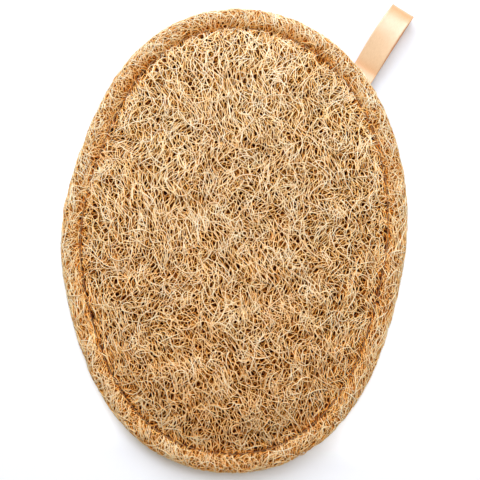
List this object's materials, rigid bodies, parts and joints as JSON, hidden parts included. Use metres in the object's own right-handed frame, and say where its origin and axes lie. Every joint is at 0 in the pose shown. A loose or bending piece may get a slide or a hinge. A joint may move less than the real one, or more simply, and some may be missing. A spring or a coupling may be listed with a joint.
{
  "type": "loofah pad",
  "caption": "Oval body-scrubbing pad: natural loofah face over a foam core, terry cloth back, stitched rim and a folded ribbon hanging loop.",
  "frame": {"origin": "centre of the flat terry back, on the surface that the pad lies on", "axes": "+Y along the oval's long axis towards the end with the hanging loop, +X across the oval, +Z out of the loofah face"},
  "size_m": [0.1318, 0.1837, 0.0206],
  "materials": {
    "loofah_fibre": "dried loofah fibre, matte with faintly glossy strands",
    "cotton_terry": "unbleached cotton terry loops",
    "foam": "open-cell polyurethane foam",
    "face_thread": "spun polyester sewing thread",
    "back_thread": "spun polyester sewing thread",
    "satin_ribbon": "polyester satin, soft sheen"
  },
  "bodies": {
    "pad": {"loofah_face": "loofah_fibre", "terry_back": "cotton_terry", "foam_core": "foam", "topstitch_top_thread": "face_thread", "topstitch_bobbin_thread": "back_thread", "closing_seam_thread": "back_thread", "hang_loop_tails": "satin_ribbon"},
    "hang_loop": {"hang_loop": "satin_ribbon"}
  },
  "joints": [
    {"name": "hang_loop_flip", "type": "hinge", "parent": "pad", "child": "hang_loop", "pos_m": [0.04496, 0.0681, 0.00395], "axis": [0.6541, -0.7564, 0], "range_deg": [-90, 90], "stiffness_Nm_per_rad": 0.002}
  ]
}
